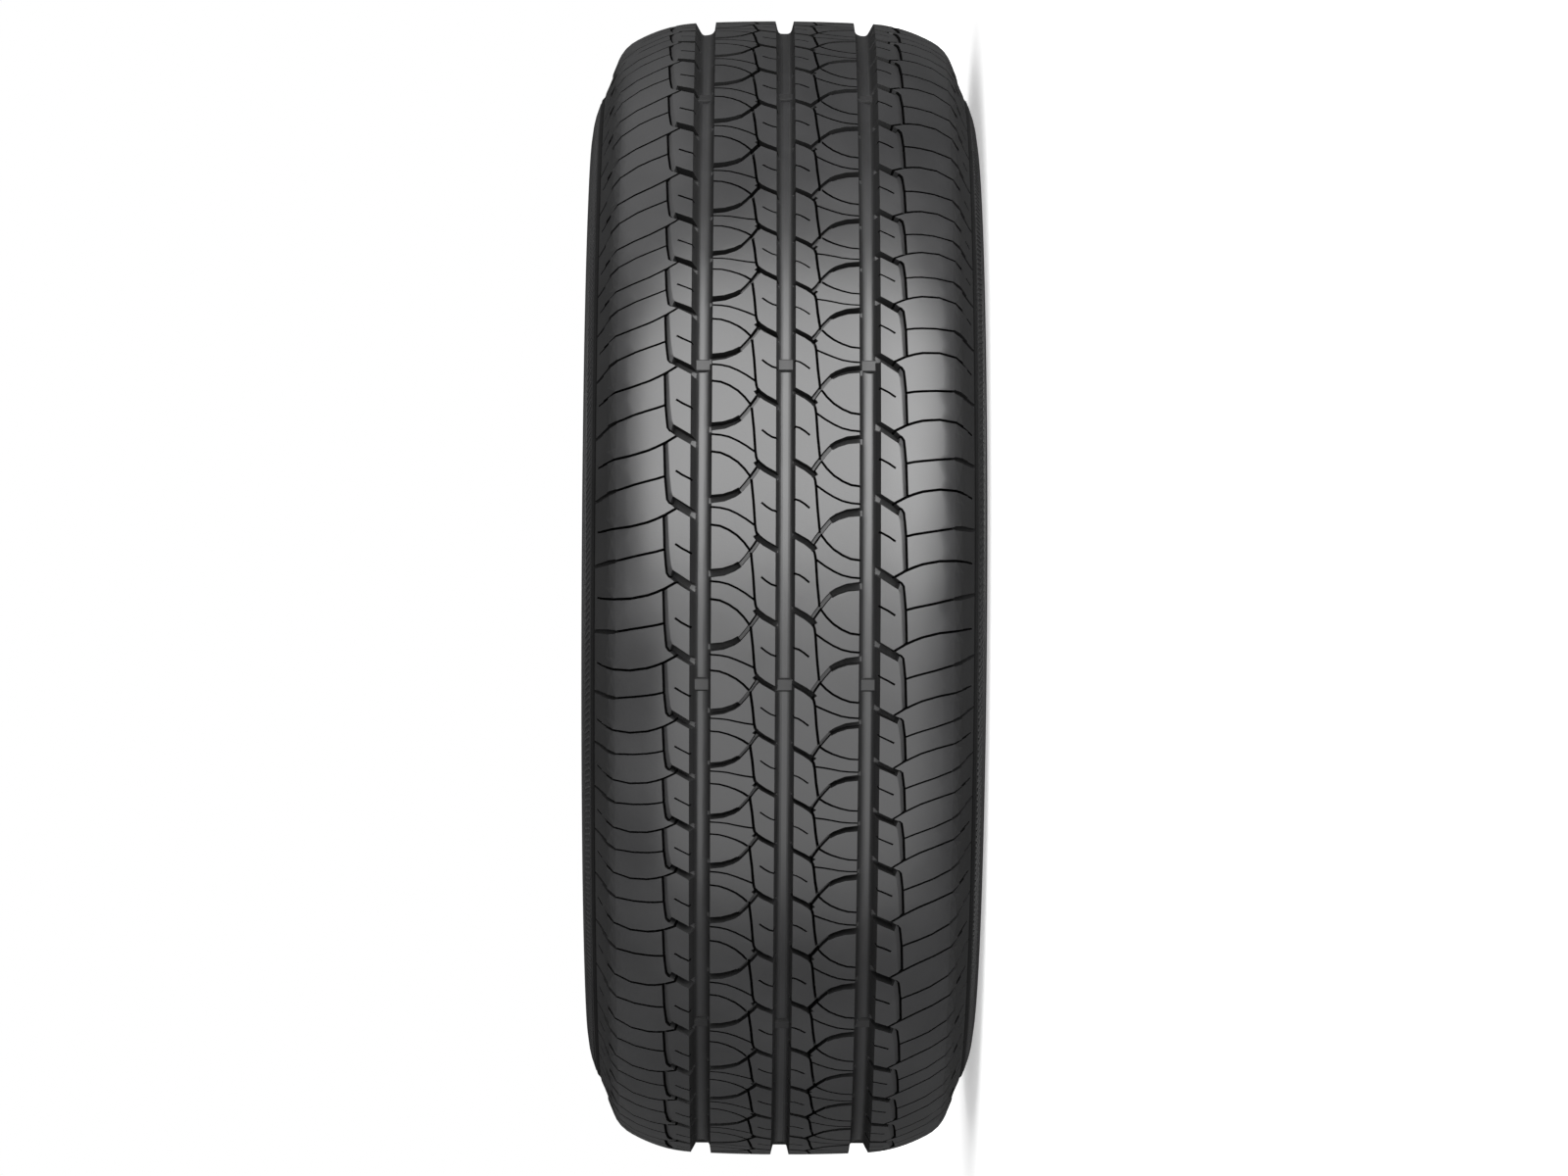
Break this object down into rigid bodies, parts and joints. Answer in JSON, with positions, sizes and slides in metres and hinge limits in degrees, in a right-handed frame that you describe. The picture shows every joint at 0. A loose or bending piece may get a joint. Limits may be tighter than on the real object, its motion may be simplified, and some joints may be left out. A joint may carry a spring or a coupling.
{
  "type": "pneumatic tyre",
  "caption": "Radial van tyre with a ribbed highway tread, open lug grooves, sipes and plain ribbed sidewalls; a wheel rim seats on its two beads.",
  "frame": {"origin": "wheel centre: on the axle, halfway between the two sidewalls", "axes": "+Z along the axle; the sidewalls face +Z and -Z, so the tyre lies flat on its lower sidewall; the tread faces out from Z"},
  "size_m": [0.712, 0.712, 0.24],
  "materials": {
    "tyre": "satin"
  },
  "bodies": {
    "root": {"tyre": "tyre"}
  },
  "joints": []
}
